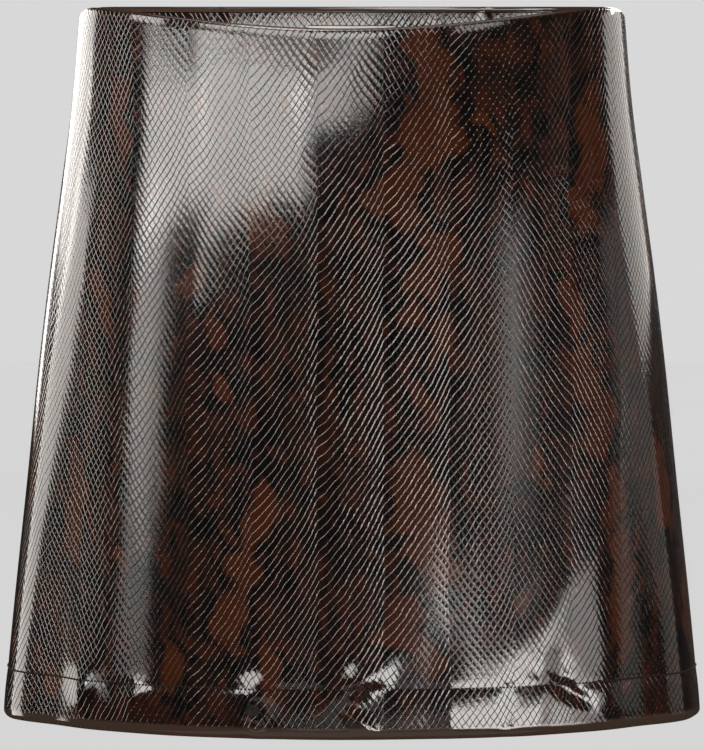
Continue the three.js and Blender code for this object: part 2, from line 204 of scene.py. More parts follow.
def form_point(round_, level):
    side, is_front, share, _ = on_ring(round_, level)
    found = {half: look_up(half, share, level) for half in ("front", "back")}
    values = np.where(is_front[:, None], found["front"], found["back"])
    values[:, 0] *= side
    values[:, 2] *= side
    return values


def fold_out(around, level):
    out = np.zeros_like(level)
    for centre, height, width, start, lean in FOLDS:
        grow = smooth(np.clip((level - start) / (LENGTH - start), 0, 1))
        away = (around - centre - lean * grow + 2) % 4 - 2
        out += height * grow * np.exp(-((away / width) ** 2))
    return out


def hem_out(level):
    above = LENGTH - level
    puff = np.where(above < HEM_STITCH, np.sin(np.pi * above / HEM_STITCH), 0)
    dent = np.exp(-(((above - HEM_STITCH) / STITCH_DENT_WIDTH) ** 2))
    return HEM_PUFF * puff - STITCH_DENT * dent


def crease_out(creases, beside, level):
    """The small creases of one panel, beside being the distance from its own centre line."""
    out = np.zeros_like(level)
    for centre, below, lean, length, width, height in creases:
        turn = math.radians(lean)
        dx, dz = beside - centre, level - below
        along = dz * math.cos(turn) + dx * math.sin(turn)
        across = dx * math.cos(turn) - dz * math.sin(turn)
        out += height * np.exp(-((along / length) ** 2) - (across / width) ** 2)
    return out


def dart_out(beside, level):
    """The two darts of the back, sewn in from the waist and running out to nothing."""
    fade = np.clip(1 - level / DART["length"], 0, 1)
    across = (np.abs(beside) - DART["beside"]) / DART["width"]
    return -DART["depth"] * np.sqrt(fade) * np.exp(-(across**2))


def behind(round_, level):
    """Distance from centre back, positive towards +X."""
    all_round = half_length("front", level) + half_length("back", level)
    return np.where(round_ < 0, -1, 1) * (all_round - np.abs(round_))


def relief(round_, level, is_front):
    """Creases, darts and the drawn-in seams of the outer panels."""
    seam = np.abs(np.abs(round_) - half_length("front", level) - SEAM_BACK)
    sink = SEAM_SINK * np.clip(1 - seam / SEAM_EDGE, 0, 1) ** 2
    if is_front:
        return crease_out(FRONT_CREASES, round_, level) - sink
    beside = behind(round_, level)
    return crease_out(BACK_CREASES, beside, level) + dart_out(beside, level) - sink


def place(round_, below, out):
    """Points of the cloth, out being the distance outside the plain outer face."""
    level = np.clip(below, 0, LENGTH)
    x, y, nx, ny = form_point(round_, level).T
    around = on_ring(round_, level)[3]
    shift = out + fold_out(around, level) + hem_out(level)
    return np.stack([x + nx * shift, y + ny * shift, -below], axis=-1)


def seam_at(side, level):
    return side * (half_length("front", level) + SEAM_BACK)


def from_back(distance, level):
    total = half_length("front", level) + half_length("back", level)
    return np.where(distance < 0, -total, total) - distance


def edge_dip(round_):
    """How far below the waist level the edge lies."""
    level = np.zeros_like(round_)
    is_front = on_ring(round_, level)[1]
    past = np.abs(round_) - half_length("front", 0)
    side = SIDE_DIP * np.exp(-((past / SIDE_DIP_WIDTH) ** 2))
    half_width = DIP_REACH * FORM["half_width"][0]
    reach = np.abs(form_point(round_, level)[:, 0] - DIP_CENTRE) / half_width
    curve = np.cos(np.clip(reach, 0, 1) * np.pi / 2) ** DIP_SHARPNESS
    return side + np.where(is_front, FRONT_DIP * curve, 0)


# Mesh fineness: steps down each stretch of a panel's wall, across it, and on the smaller pieces.
ROLL_STEPS, BODY_ROWS, HEM_ROWS, TURN_ROWS = 8, 78, 30, 10
HEM_ZONE = 48  # the finer rows start this far above the hem
COLUMNS = 232
SEAM_COLUMNS = np.array([0, 0.5, 1.1, 1.8, 2.6, 3.6, 5.0])  # more columns, this far from a seam
PANEL_REACH = {"front": 250.0, "back": 205.0}  # half a panel's width, halfway down
STRIP_ROWS, LABEL_COLUMNS = 16, 40
TAPE_COLUMNS, TAPE_ROWS = 16, 90


def arc(out, below, radius, start, end):
    angle = np.radians(np.linspace(start, end, ROLL_STEPS + 1))[None, :]
    return out + radius * np.cos(angle), below - radius * np.sin(angle)


def run(out_a, below_a, out_b, below_b, count):
    """Evenly spaced points between two places of the wall, without the ends."""
    t = (np.arange(1, count) / count)[None, :]
    return out_a + (out_b - out_a) * t, below_a + (below_b - below_a) * t


def join_line(parts, columns):
    """Stretches of wall end to end: how far out and how far down each point lies."""
    sizes = [(columns, np.shape(below)[1]) for _, below in parts]
    return tuple(
        np.concatenate([np.broadcast_to(part[k], size) for part, size in zip(parts, sizes)], axis=1)
        for k in (0, 1)
    )


def panel_line(top, share, depth):
    """The wall from its turned waist edge to the raw edge of the turned-up hem, at one depth."""
    count = len(top)
    roll = (HEM_ROLL_MIDDLE + (HEM_ROLL_SIDE - HEM_ROLL_MIDDLE) * share**2)[:, None]
    waist = top[:, None] + WAIST_ROLL
    hem = LENGTH - roll
    raw = LENGTH - HEM_DEPTH
    laid = depth - 2 * WALL - GAP
    ones = np.ones((count, 1))
    zone = (LENGTH - HEM_ZONE) * ones
    parts = [
        ((depth - 2 * WAIST_ROLL) * ones, waist + WAIST_TURN),
        arc(-WAIST_ROLL, waist, WAIST_ROLL - depth, 180, 0),
        run(-depth * ones, waist, -depth * ones, zone, BODY_ROWS),
        (-depth * ones, zone),
        run(-depth * ones, zone, -depth * ones, hem, HEM_ROWS),
        arc(-roll, hem, roll - depth, 0, -180),
        run(depth - 2 * roll, hem, laid * ones, raw * ones, TURN_ROWS),
        (laid * ones, raw * ones),
    ]
    return join_line(parts, count)


def strip_line(depth, top, bottom, rows, count):
    t = np.linspace(0, 1, rows + 1)[None, :]
    below = np.asarray(top).reshape(-1, 1) * (1 - t) + np.asarray(bottom).reshape(-1, 1) * t
    below = np.broadcast_to(below, (count, rows + 1))
    return np.full_like(below, depth), below


def path_down(line, start):
    """Distance along the leather's own face, equal to below where the wall hangs plain."""
    out, below = line
    step = np.hypot(np.diff(out, axis=1), np.diff(below, axis=1))
    path = np.concatenate([np.zeros((len(out), 1)), np.cumsum(step, axis=1)], axis=1)
    return path - path[:, start:start + 1] + below[:, start:start + 1]


CLOTH_SHARP, COPY_SHARP = 48, 60  # edges that turn by more degrees than this stay sharp


def link(name, data):
    """A new object in the scene."""
    thing = bpy.data.objects.new(name, data)
    bpy.context.collection.objects.link(thing)
    return thing


def make_mesh(name, points, faces, materials, face_material, uv, values):
    """A piece from points in millimetres, with its UV map in metres and a value at each point."""
    mesh = bpy.data.meshes.new(name)
    mesh.from_pydata((points * MM).tolist(), [], faces.tolist())
    for material in materials:
        mesh.materials.append(material)
    mesh.polygons.foreach_set("material_index", face_material.astype(np.int32))
    corners = np.empty(len(mesh.loops), dtype=np.int32)
    mesh.loops.foreach_get("vertex_index", corners)
    layer = mesh.uv_layers.new(name="cut")
    layer.data.foreach_set("uv", (uv[corners] * MM).ravel())
    for attribute, numbers in values.items():
        layer = mesh.attributes.new(attribute, "FLOAT", "POINT")
        layer.data.foreach_set("value", numbers.astype(np.float32))
    mesh.update()
    piece = link(name, mesh)
    finish_shading(piece, CLOTH_SHARP)
    return piece


def finish_shading(piece, sharp):
    bpy.ops.object.select_all(action="DESELECT")
    piece.select_set(True)
    bpy.context.view_layer.objects.active = piece
    bpy.ops.object.shade_smooth_by_angle(angle=math.radians(sharp))
    piece.select_set(False)


def swept_faces(columns, rows):
    """Faces of a wall whose section has rows outer points and as many inner ones, with caps."""
    size = 2 * rows
    i, j = np.meshgrid(np.arange(columns - 1), np.arange(size), indexing="ij")
    a, b = i * size + j, i * size + (j + 1) % size
    sides = np.stack([a, b, b + size, a + size], axis=-1).reshape(-1, 4)
    j = np.arange(rows - 1)
    cap = np.stack([size - 1 - j, size - 2 - j, j + 1, j], axis=-1)
    caps = np.concatenate([cap, cap[:, ::-1] + (columns - 1) * size])
    outer = np.broadcast_to(np.arange(size) < rows - 1, (columns - 1, size)).ravel()
    inner_row = (np.arange(size) >= rows) & (np.arange(size) < size - 1)
    inner = np.broadcast_to(inner_row, (columns - 1, size)).ravel()
    none = np.zeros(len(caps), dtype=bool)
    faces = np.concatenate([sides, caps])
    return faces, np.concatenate([outer, none]), np.concatenate([inner, none])


def face_outwards(points, faces):
    a, b, c, d = (points[faces[:, k]] for k in range(4))
    volume = np.einsum("ij,ij->i", a, np.cross(b, c)) + np.einsum("ij,ij->i", a, np.cross(c, d))
    return faces if volume.sum() > 0 else faces[:, ::-1]


def sweep(name, outer, inner, round_of, materials, start,
          relief_of=None, leather_inside=False, cut=0.0, is_back=False):
    """A closed wall of cloth. round_of(level) gives each point's distance round, start is the row
    from which the way down is measured, and cut is how far round the print it was cut."""
    columns, rows = outer[0].shape
    out = np.concatenate([outer[0], inner[0][:, ::-1]], axis=1)
    below = np.concatenate([outer[1], inner[1][:, ::-1]], axis=1)
    level = np.clip(below, 0, LENGTH)
    round_ = round_of(level)
    flat = round_.ravel(), below.ravel(), out.ravel()
    shift = relief_of(flat[0], level.ravel()) if relief_of else 0
    points = place(flat[0], flat[1], flat[2] + shift)
    down = path_down(outer, start)
    down = np.concatenate([down, down[:, ::-1]], axis=1)
    beside = -behind(flat[0], level.ravel()) if is_back else flat[0]
    uv = np.stack([beside + cut, down.ravel()], axis=-1)
    faces, on_outer, on_inner = swept_faces(columns, rows)
    leather_face = on_inner if leather_inside else on_outer
    faces = face_outwards(points, faces)
    values = {
        "blotch": print_field(uv, is_back),
        "pressed": pressed_share(*(inner if leather_inside else outer)),
    }
    return make_mesh(name, points, faces, materials, np.where(leather_face, 0, 1), uv, values)


ROLL_FADE = 0.7  # the scales fade out over this distance at a rolled edge
ROLL_BAND = 1.5  # the scales end this many times the hem's roll above its edge


# The same share also paints the rolled edges a plain greyish brown: partly the roll's own plain colour,
# partly a painted reflection standing in for the pale floor's shine on the hem's roll.
def pressed_share(out, below):
    """1 where the leather lies plain, 0 where it's rolled over an edge, which flattens the scales."""
    roll = -out.min(axis=1, keepdims=True) / 2
    plain = np.clip(1 + (out - out.max()) / ROLL_FADE, 0, 1)
    plain = plain * np.clip((LENGTH - ROLL_BAND * roll - below) / ROLL_FADE, 0, 1)
    return np.concatenate([plain, plain[:, ::-1]], axis=1).ravel()


# The print: blotches on the cut, given as distance round, level, half width, half height,
# and how strong the dye is.
BLOTCHES = [
    (40, 30, 13, 22, 1.0),
    (46, 60, 16, 20, 1.0),
    (34, 76, 12, 14, 0.9),
    (24, 98, 15, 16, 1.0),
    (30, 112, 12, 12, 0.9),
    (46, 128, 13, 12, 1.0),
    (40, 148, 16, 14, 0.7),
    (30, 168, 13, 16, 0.6),
    (48, 176, 12, 26, 0.6),
    (72, 64, 8, 5, 0.9),
    (140, 76, 12, 33, 1.0),
    (134, 108, 10, 20, 0.9),
    (124, 158, 9, 18, 0.9),
    (134, 196, 11, 24, 1.0),
    (144, 228, 12, 26, 0.9),
    (160, 312, 10, 46, 1.0),
    (154, 268, 9, 24, 0.9),
    (34, 262, 16, 26, 1.0),
    (44, 286, 14, 28, 1.0),
    (38, 212, 14, 14, 0.6),
    (28, 330, 14, 16, 1.0),
    (38, 346, 12, 14, 0.9),
    (-48, 118, 12, 20, 1.0),
    (-84, 149, 10, 14, 0.9),
    (-76, 176, 8, 14, 0.8),
    (-70, 202, 8, 12, 0.7),
    (-50, 276, 10, 20, 1.0),
    (-60, 300, 11, 16, 0.9),
    (-66, 325, 11, 20, 1.0),
    (-46, 358, 8, 20, 0.9),
    (-165, 268, 9, 38, 1.0),
    (-182, 365, 10, 12, 1.0),
    (-133, 246, 6, 8, 0.8),
    (-130, 295, 7, 9, 0.8),
    (-133, 60, 9, 32, 0.9),
    (-146, 155, 8, 20, 0.9),
    (-100, 350, 10, 18, 0.7),
    (104, 250, 12, 26, 0.5),
    (92, 318, 12, 22, 0.5),
    (200, 120, 14, 34, 1.0),
    (196, 262, 11, 28, 1.0),
    (232, 60, 15, 30, 1.0),
    (240, 92, 12, 22, 0.9),
    (236, 200, 14, 26, 1.0),
    (228, 232, 12, 20, 0.9),
    (230, 330, 16, 34, 1.0),
    (-204, 90, 13, 34, 1.0),
    (-196, 124, 11, 20, 0.9),
    (-212, 230, 13, 40, 1.0),
    (-222, 204, 11, 18, 0.9),
    (-236, 330, 14, 26, 1.0),
]
# Slow waves that bend the blotches: which way they act, period, how far, start.
BENDS = [("u", 46, 3.2, 0.4), ("u", 21, 1.6, 1.9), ("v", 38, 3.6, 2.6), ("v", 17, 1.5, 0.9)]


def print_field(uv, turned):
    """1 in the middle of a blotch, 0 on its outline, falling to -1 outside. The back is cut from
    the print turned over."""
    u, v = uv[:, 0], LENGTH - uv[:, 1] if turned else uv[:, 1]
    bent = {"u": u.copy(), "v": v.copy()}
    for axis, period, far, phase in BENDS:
        other = v if axis == "u" else u
        bent[axis] += far * np.sin(2 * np.pi * other / period + phase)
    field = np.full(len(uv), -1.0)
    for centre, below, wide, high, dye in BLOTCHES:
        away = np.hypot((bent["u"] - centre) / wide, (bent["v"] - below) / high)
        field = np.maximum(field, dye - away)
    return field


def linear(code):
    """An sRGB hex value as a linear colour."""
    parts = [int(code[i:i + 2], 16) / 255 for i in (1, 3, 5)]
    return (*[c / 12.92 if c <= 0.04045 else ((c + 0.055) / 1.055) ** 2.4 for c in parts], 1.0)


IN_MM = (1000.0, 1000.0, 1000.0)


def connect(tree, node, inputs):
    """Sets a node's inputs, each to a value or to another node's output."""
    for socket, value in inputs.items():
        if isinstance(value, bpy.types.NodeSocket):
            tree.links.new(value, node.inputs[socket])
        else:
            node.inputs[socket].default_value = value


def add(tree, kind, inputs=None, **settings):
    node = tree.nodes.new(kind)
    for name, value in settings.items():
        setattr(node, name, value)
    connect(tree, node, inputs or {})
    return node


def calc(tree, operation, *values):
    """The result of one Math node."""
    return add(tree, "ShaderNodeMath", dict(enumerate(values)), operation=operation).outputs[0]


def stretch(tree, where, factors):
    """A place with each axis multiplied."""
    return add(tree, "ShaderNodeVectorMath", {0: where, 1: factors}, operation="MULTIPLY").outputs[0]


def ramp(tree, value, start, end, low=0.0, high=1.0, shape="SMOOTHSTEP"):
    """low where the value is start, high where it's end, and a curve between them."""
    inputs = {"Value": value, "From Min": start, "From Max": end, "To Min": low, "To Max": high}
    return add(tree, "ShaderNodeMapRange", inputs, interpolation_type=shape).outputs[0]


def mix(tree, share, under, over):
    """A colour between two others, over where share is 1."""
    inputs = {"Factor": share, "A": under, "B": over}
    return add(tree, "ShaderNodeMix", inputs, data_type="RGBA").outputs["Result"]


def noise(tree, where, scale, detail, roughness=0.5, output=0):
    inputs = {"Vector": where, "Scale": scale, "Detail": detail, "Roughness": roughness}
    return add(tree, "ShaderNodeTexNoise", inputs).outputs[output]


def waves(tree, where, scale, distortion, direction="X", detail_scale=1.0):
    inputs = {"Vector": where, "Scale": scale, "Distortion": distortion, "Detail Scale": detail_scale}
    return add(tree, "ShaderNodeTexWave", inputs, bands_direction=direction).outputs["Fac"]


def bump(tree, height, strength, distance):
    inputs = {"Height": height, "Strength": strength, "Distance": distance}
    return add(tree, "ShaderNodeBump", inputs).outputs[0]


def on_cut(tree):
    """Places on the flat cut, in millimetres."""
    return stretch(tree, add(tree, "ShaderNodeUVMap", uv_map="cut").outputs[0], IN_MM)


def on_object(tree):
    """Places in the piece's own axes, in metres."""
    return add(tree, "ShaderNodeTexCoord").outputs["Object"]


def new_material(name):
    material = bpy.data.materials.new(name)
    material.use_nodes = True
    tree = material.node_tree
    tree.nodes.clear()
    shader = add(tree, "ShaderNodeBsdfPrincipled")
    output = add(tree, "ShaderNodeOutputMaterial")
    tree.links.new(shader.outputs[0], output.inputs["Surface"])
    return material, tree, shader


EMBOSS = {
    "pitch": 5.5,  # down, from one line of a family to the next
    "slope": 1.45,
    "first_kink": 20.0,  # where the plate's pattern starts round the skirt
    "drifts": [(0.018, 5.0, 7.0), (0.16, 1.0, 1.4)],  # waves a millimetre, how far round and down
    "arches": [(17.75, 0.22), (35.5, 0.38)],  # period round, and how much the slope changes
    "falling_share": 0.65,  # the falling lines bend this much as far as the rising ones
    "wave": (9.5, 0.16),  # period round and height
    # Each line is a step, as one scale laps the next: the breadth of its wall, its depth, and
    # over what distance the scale before it sinks to it.
    "rising": (0.26, 0.09, 0.4),
    "falling": (0.34, 0.07, 2.3),
    "grain": (1.3, 0.015),  # pebbles a millimetre, and how high
}


def plate_drift(tree, u, v):
    """Moves the pattern a little to and fro, as a hand-cut plate has it."""
    wander = add(tree, "ShaderNodeCombineXYZ", {0: u, 1: v}).outputs[0]
    for scale, far_round, far_down in EMBOSS["drifts"]:
        drift = noise(tree, wander, scale, detail=1.0, output="Color")
        parts = add(tree, "ShaderNodeSeparateXYZ", {0: drift}).outputs
        u = calc(tree, "MULTIPLY_ADD", parts[0], far_round, u)
        v = calc(tree, "MULTIPLY_ADD", parts[1], far_down, v)
    return u, v


def line_bend(tree, u):
    """The bend of the lines from one kink to the next: how far down, and its slope."""
    bend, slope = 0.0, -sum(change for _, change in EMBOSS["arches"])
    for period, change in EMBOSS["arches"]:
        part = calc(tree, "FRACT", calc(tree, "DIVIDE", u, period))
        arch = calc(tree, "MULTIPLY", part, calc(tree, "SUBTRACT", part, 1.0))
        bend = calc(tree, "MULTIPLY_ADD", arch, change * period, bend)
        slope = calc(tree, "MULTIPLY_ADD", part, 2 * change, slope)
    period, height = EMBOSS["wave"]
    wave = calc(tree, "SINE", calc(tree, "MULTIPLY", u, 2 * math.pi / period))
    return calc(tree, "MULTIPLY_ADD", wave, height, bend), slope


def step_height(tree, line, slope, wall, depth, sinking):
    """Height beside one family's lines, which run where line is a whole number."""
    steep = calc(tree, "MULTIPLY_ADD", slope, slope, 1.0)
    breadth = calc(tree, "MULTIPLY", calc(tree, "INVERSE_SQRT", steep), EMBOSS["pitch"])
    past = calc(tree, "FRACT", line)
    climb = calc(tree, "MULTIPLY", past, 1 / wall)
    sink = calc(tree, "MULTIPLY", calc(tree, "SUBTRACT", 1.0, past), 1 / sinking)
    lower = calc(tree, "MULTIPLY", calc(tree, "MINIMUM", climb, sink), breadth)
    return ramp(tree, lower, 0.0, 1.0, -depth, 0.0)


def emboss_height(tree, u, v):
    """Two families of pressed lines that cross as the edges of snake scales. Gives the height
    in millimetres, and a value that is different in each scale."""
    u, v = plate_drift(tree, u, v)
    u = calc(tree, "SUBTRACT", u, EMBOSS["first_kink"])
    bend, bend_slope = line_bend(tree, u)
    pitch, slope = EMBOSS["pitch"], EMBOSS["slope"]
    families = ((1, 1.0, EMBOSS["rising"]), (-1, -EMBOSS["falling_share"], EMBOSS["falling"]))
    heights, counts = [], []
    for side, share, profile in families:
        line = calc(tree, "MULTIPLY_ADD", v, side / pitch, 0.0)
        line = calc(tree, "MULTIPLY_ADD", u, slope / pitch, line)
        line = calc(tree, "MULTIPLY_ADD", bend, share / pitch, line)
        steepness = calc(tree, "MULTIPLY_ADD", bend_slope, share, slope)
        heights.append(step_height(tree, line, steepness, *profile))
        counts.append(calc(tree, "FLOOR", line))
    scale = add(tree, "ShaderNodeCombineXYZ", dict(enumerate(counts))).outputs[0]
    each = add(tree, "ShaderNodeTexWhiteNoise", {"Vector": scale}, noise_dimensions="3D")
    return calc(tree, "ADD", *heights), each.outputs["Value"]


PRINT = {
    # Noises: waves a millimetre, detail, roughness.
    "ragged": (0.075, 3.0, 0.5),
    "cloudy": (0.03, 4.0, 0.5),
    "veins": (0.075, 3.0, 0.6),
    "specks": (0.12, 2.0, 0.5),
    "drawn_out": (1.0, 0.55, 1.0),  # the veins and specks are longer down the cut
    "raggedness": 1.5,  # how far the outlines wander, where a blotch reaches from 0 to 1
    "edge_step": 0.08,  # how much the outlines change from scale to scale
    "tone_step": 0.06,  # how much the ground does
    # Where each of these starts and is full.
    "rust": (0.62, 1.16),
    "outline": (0.22, 0.72),
    "clouds": (0.40, 0.60),
    "burgundy": (0.50, 0.72),
    "black": (0.52, 0.36),
    "unbroken": (0.62, 0.50),
}


def python_print(tree, flat, each):
    """The printed colours: rust blotches, each in a broken near-black outline, on a brown ground
    mottled with black and burgundy."""
    field = add(tree, "ShaderNodeAttribute", attribute_name="blotch").outputs["Fac"]
    edge = calc(tree, "MULTIPLY_ADD", noise(tree, flat, *PRINT["ragged"]), PRINT["raggedness"], field)
    edge = calc(tree, "MULTIPLY_ADD", each, PRINT["edge_step"], edge)
    drawn = stretch(tree, flat, PRINT["drawn_out"])
    cloudy = noise(tree, flat, *PRINT["cloudy"])
    specks = noise(tree, drawn, *PRINT["specks"])
    veins = noise(tree, drawn, *PRINT["veins"])
    speck = calc(tree, "MULTIPLY_ADD", each, PRINT["tone_step"], specks)
    vein = calc(tree, "MULTIPLY_ADD", each, PRINT["tone_step"], veins)
    ground = mix(tree, ramp(tree, cloudy, *PRINT["clouds"]), linear("#150e0b"), linear("#28150e"))
    ground = mix(tree, ramp(tree, speck, *PRINT["burgundy"]), ground, linear("#38190f"))
    ground = mix(tree, ramp(tree, vein, *PRINT["black"]), ground, linear("#0b0908"))
    unbroken = ramp(tree, specks, *PRINT["unbroken"], shape="LINEAR")
    outline = calc(tree, "MULTIPLY", ramp(tree, edge, *PRINT["outline"]), unbroken)
    lined = mix(tree, outline, ground, linear("#0b0a09"))
    rust = mix(tree, cloudy, linear("#36180b"), linear("#4d2512"))
    return mix(tree, ramp(tree, edge, *PRINT["rust"]), lined, rust)


def coated_leather():
    """Polyurethane-coated split leather: python print under a clear gloss coat, scales pressed in
    with a hot plate. It gives a wet shine broken by fine lines and a faint pebble grain."""
    material, tree, shader = new_material("coated_leather_python_embossed")
    pressed = add(tree, "ShaderNodeAttribute", attribute_name="pressed").outputs["Fac"]
    flat = on_cut(tree)
    axes = add(tree, "ShaderNodeSeparateXYZ", {0: flat}).outputs
    height, each = emboss_height(tree, axes[0], axes[1])
    height = calc(tree, "MULTIPLY", height, pressed)
    pebbles, high = EMBOSS["grain"]
    height = calc(tree, "MULTIPLY_ADD", noise(tree, flat, pebbles, detail=1.5), high, height)
    connect(tree, shader, {
        # Where the leather is rolled over an edge it turns a plain greyish brown, partly its own colour
        # and partly a painted reflection of the pale floor.
        "Base Color": mix(tree, pressed, linear("#46362c"), python_print(tree, flat, each)),
        "Normal": bump(tree, height, strength=1.0, distance=MM),
        "Roughness": 0.075,
        "IOR": 1.5,
        "Specular IOR Level": 0.6,
    })
    return material


def knitted_backing():
    """Brushed polyester knit laminated behind the leather: matt, dark, with fine wales."""
    material, tree, shader = new_material("knitted_backing_brushed")
    flat = on_cut(tree)
    wales = waves(tree, flat, scale=0.42, distortion=1.4, detail_scale=1.5)
    nap = noise(tree, flat, scale=1.2, detail=4.0)
    height = calc(tree, "MULTIPLY_ADD", wales, 0.5, nap)
    connect(tree, shader, {
        "Base Color": mix(tree, nap, linear("#1f1814"), linear("#3a2e27")),
        "Normal": bump(tree, height, strength=0.6, distance=0.3 * MM),
        "Roughness": 0.95,
        "Specular IOR Level": 0.15,
        "Sheen Weight": 0.25,
        "Sheen Roughness": 0.5,
    })
    return material


BANDS = 0.31  # the wave texture's scale that draws one band a unit


def woven_cloth(name, low, high, thread, roughness, sheen):
    """A plain woven ribbon. Its threads are drawn at their real spacing from the cut's own map."""
    material, tree, shader = new_material(name)
    flat = on_cut(tree)
    warp, weft = (waves(tree, flat, BANDS / thread, distortion=0.3, direction=d) for d in "XY")
    over = calc(tree, "MULTIPLY", warp, weft)
    connect(tree, shader, {
        "Base Color": mix(tree, over, linear(low), linear(high)),
        "Normal": bump(tree, over, strength=0.5, distance=0.1 * MM),
        "Roughness": roughness,
        "Sheen Weight": sheen,
    })
    return material


def spun_thread():
    """Polyester core-spun sewing thread: dark, twisted, slightly shiny."""
    material, tree, shader = new_material("spun_polyester_thread")
    where = stretch(tree, on_object(tree), IN_MM)
    twist = waves(tree, where, scale=1.2, distortion=0.5, direction="DIAGONAL")
    connect(tree, shader, {
        "Base Color": mix(tree, twist, linear("#120d0b"), linear("#2a1e18")),
        "Normal": bump(tree, twist, strength=0.5, distance=0.08 * MM),
        "Roughness": 0.85,
        "Specular IOR Level": 0.2,
    })
    return material


def enamelled_zinc():
    """Die-cast zinc under dark enamel: smooth, satin, with the faint orange peel of the bake."""
    material, tree, shader = new_material("enamelled_zinc")
    peel = noise(tree, on_object(tree), scale=1400.0, detail=2.0)
    wear = noise(tree, on_object(tree), scale=260.0, detail=4.0)
    connect(tree, shader, {
        "Base Color": mix(tree, wear, linear("#15100e"), linear("#2a201b")),
        "Normal": bump(tree, peel, strength=0.4, distance=0.05 * MM),
        "Roughness": ramp(tree, wear, 0.0, 1.0, low=0.26, high=0.42, shape="LINEAR"),
        "Metallic": 0.6,
    })
    return material


def moulded_nylon():
    """Nylon monofilament pressed into coil teeth: dark, waxy, a little glossy."""
    material, tree, shader = new_material("nylon_monofilament")
    haze = noise(tree, on_object(tree), scale=900.0, detail=3.0)
    connect(tree, shader, {
        "Base Color": mix(tree, haze, linear("#120e0c"), linear("#241b17")),
        "Roughness": 0.42,
    })
    return material


# The photograph's view: level with the waist, and looking a little down at the middle.
CAMERA = {"lens": 296.7, "sensor": 36, "distance": 3.4, "degrees_down": 3.41}


def camera():
    data = bpy.data.cameras.new("photo_camera")
    data.lens = CAMERA["lens"]
    data.sensor_width = CAMERA["sensor"]
    view = link("photo_camera", data)
    view.location = (0, -CAMERA["distance"], 0)
    view.rotation_euler = (math.radians(90 - CAMERA["degrees_down"]), 0, 0)
    bpy.context.scene.camera = view


# Softboxes round the skirt: name, azimuth from the front (positive to the right), elevation,
# lean, width and height in metres, radiance. They stand BOX_DISTANCE from the skirt's middle,
# each BOX_STEP farther than the one before, so that two that overlap add up.
BOX_DISTANCE, BOX_STEP = 1.7, 0.002
SKIRT_MIDDLE = Vector((0, 0, -0.195))
SOFTBOXES = [
    ("key", -24, 19.6, 7, 0.96, 0.50, 4.0),
    ("key_edge", -24, 19.6, 7, 1.04, 0.58, 5.5),
    ("key_left", -54, 15.4, 8, 0.74, 0.30, 5.0),
    ("key_left_edge", -54, 15.4, 8, 0.84, 0.39, 5.5),
    ("key_corner", -1.5, 24.7, 12, 0.42, 0.25, 7.0),
    ("key_high", -16, 36.2, 0, 1.30, 0.22, 9.0),
    ("key_high_left", -69, 31.0, 0, 0.55, 0.53, 9.0),
    ("crease_light", 38, 34.0, 0, 0.40, 0.30, 4.0),
    ("left_strip", -59, 6.0, -20, 0.34, 0.38, 3.6),
    ("left_strip_low", -61, 2.0, -16, 0.24, 0.50, 2.2),
    ("right_strip", 48, 5.8, 0, 0.42, 0.32, 0.5),
    ("right_strip_core", 47, 5.5, 0, 0.20, 0.20, 1.5),
    ("left_rim", -112.5, -5, 0, 0.69, 0.90, 5.2),
    ("left_rim_high", -140, 13, 0, 1.5, 0.50, 3.6),
    ("right_rim", 104, -0.8, 0, 0.70, 0.54, 0.6),
    ("right_rim_high", 131, 9, 0, 1.1, 0.40, 2.2),
    ("low_right", 41, -8.9, -3.5, 1.34, 0.26, 7.5),
    ("low_right_edge", 43, -8.9, -3.5, 1.52, 0.33, 4.5),
    ("low_right_soft", 71, -7.0, -6, 0.46, 0.30, 3.4),
    ("low_glow", 2, -9.0, 0, 1.20, 0.24, 0.6),
    ("back_key", 146, 20, 0, 1.2, 0.42, 10.0),
    ("back_strip", -150, 6, 0, 0.3, 0.5, 5.0),
    ("top", -22, 66, 0, 0.5, 0.7, 14.0),
]
WARM_WHITE, SOFT_WHITE = (1.0, 0.96, 0.90), (1.0, 0.965, 0.93)
# Cards that lie flat and shine up: name, middle, width, depth, radiance. One stands for the pale
# floor in the rolled hem, the other for what the facing inside the waist gets.
CARDS = [
    ("floor_card", (0, -1.25, -0.92), 1.6, 1.9, 0.3),
    ("inner_card", (-0.052, 0.012, -0.066), 0.11, 0.05, 9.0),
]


def area_light(name, location, turn, width, height, radiance):
    """A light that shows in the leather's shine only, save the small card inside the waist."""
    data = bpy.data.lights.new(name, "AREA")
    data.shape = "RECTANGLE"
    data.size, data.size_y = width, height
    data.energy = radiance * math.pi * width * height
    data.color = WARM_WHITE if "rim" in name else SOFT_WHITE
    box = link(name, data)
    box.location = location
    box.rotation_euler = turn
    box.visible_camera = False
    box.visible_diffuse = name == "inner_card"


def softboxes():
    for number, (name, azimuth, elevation, lean, width, height, radiance) in enumerate(SOFTBOXES):
        a, e = math.radians(azimuth), math.radians(elevation)
        away = Vector((math.sin(a) * math.cos(e), -math.cos(a) * math.cos(e), math.sin(e)))
        turn = away.to_track_quat("Z", "Y").to_matrix() @ Matrix.Rotation(math.radians(lean), 3, "Z")
        middle = SKIRT_MIDDLE + away * (BOX_DISTANCE + BOX_STEP * number)
        area_light(name, middle, turn.to_euler(), width, height, radiance)
    for name, middle, width, depth, radiance in CARDS:
        area_light(name, middle, (math.pi, 0, 0), width, depth, radiance)


FLOOR_HALF, FLOOR_LEVEL = 14.0, -1.0  # in metres
PALE_GREY, DARK_GREY = (0.7, 0.7, 0.7, 1), (0.02, 0.02, 0.02, 1)


